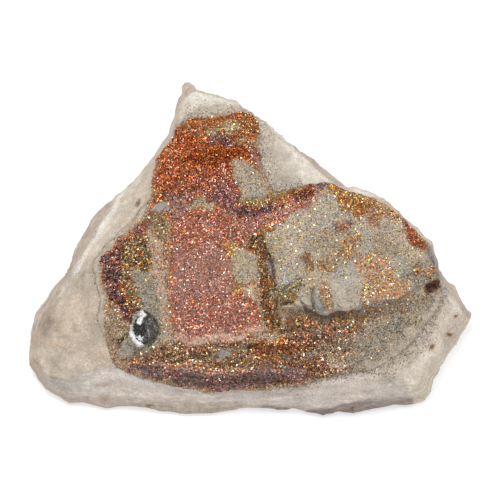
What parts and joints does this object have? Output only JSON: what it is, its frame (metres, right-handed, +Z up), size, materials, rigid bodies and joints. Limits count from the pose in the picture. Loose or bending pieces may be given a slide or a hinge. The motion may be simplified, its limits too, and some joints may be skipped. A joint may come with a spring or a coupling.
{
  "type": "rainbow pyrite specimen",
  "caption": "Chip of pale mudstone with a raised crust of tarnished, iridescent pyrite crystals on its upper face.",
  "frame": {"origin": "middle of the specimen's bounding box, on the surface it lies on", "axes": "+Z up, away from the flat underside; +X along the longest side; +Y towards the pointed end"},
  "size_m": [0.089, 0.0688, 0.0173],
  "materials": {
    "mudstone": "dull, fine-grained pale beige-grey mudstone with faint bedding, small pits and brown stains",
    "pyrite_druse": "glittering metallic microcrystals with an iridescent tarnish from gold and orange to red and purple, dull grey in places",
    "dark_crystal": "dark grey granular metallic mineral",
    "white_mineral": "chalky white mineral with a slight sparkle"
  },
  "bodies": {
    "root": {"matrix_rock": "mudstone", "pyrite_crust": "pyrite_druse", "dark_crystal_knot": "dark_crystal", "white_mineral": "white_mineral"}
  },
  "joints": []
}
